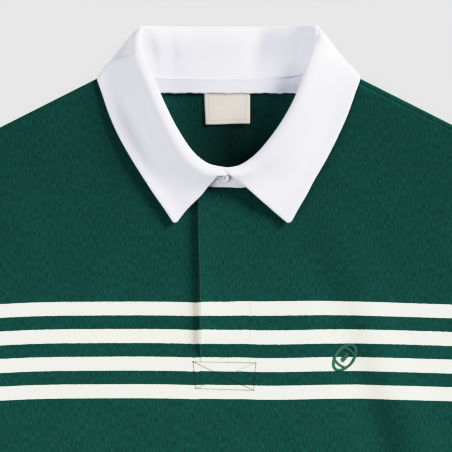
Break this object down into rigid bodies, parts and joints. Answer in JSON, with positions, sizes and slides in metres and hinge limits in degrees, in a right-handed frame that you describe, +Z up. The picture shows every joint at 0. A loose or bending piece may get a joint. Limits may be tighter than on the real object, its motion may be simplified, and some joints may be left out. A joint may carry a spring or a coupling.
{
  "type": "rugby shirt",
  "caption": "Long-sleeved jersey shirt laid flat, with a folded woven collar, a covered placket with a top button, chest stripes and ribbed cuffs.",
  "frame": {"origin": "centre of the footprint, on the surface that the shirt lies on", "axes": "+X to the wearer's left, across the sleeves; +Y from the hem to the collar; +Z up, out of the front"},
  "size_m": [1.4416, 0.7504, 0.0293],
  "materials": {
    "green_jersey": "matte cotton jersey with cream chest stripes",
    "green_rib": "matte ribbed knit",
    "white_twill": "matte cotton twill",
    "white_tape": "matte herringbone tape",
    "cream_label": "satin woven label",
    "pearl_button": "pearly polyester"
  },
  "bodies": {
    "root": {"back": "green_jersey", "front": "green_jersey", "sleeve_left": "green_jersey", "sleeve_right": "green_jersey", "cuff_left": "green_rib", "cuff_right": "green_rib", "placket_under": "green_jersey", "placket_upper": "green_jersey", "collar": "white_twill", "neck_tape": "white_tape", "neck_label": "cream_label", "button": "pearl_button"}
  },
  "joints": []
}
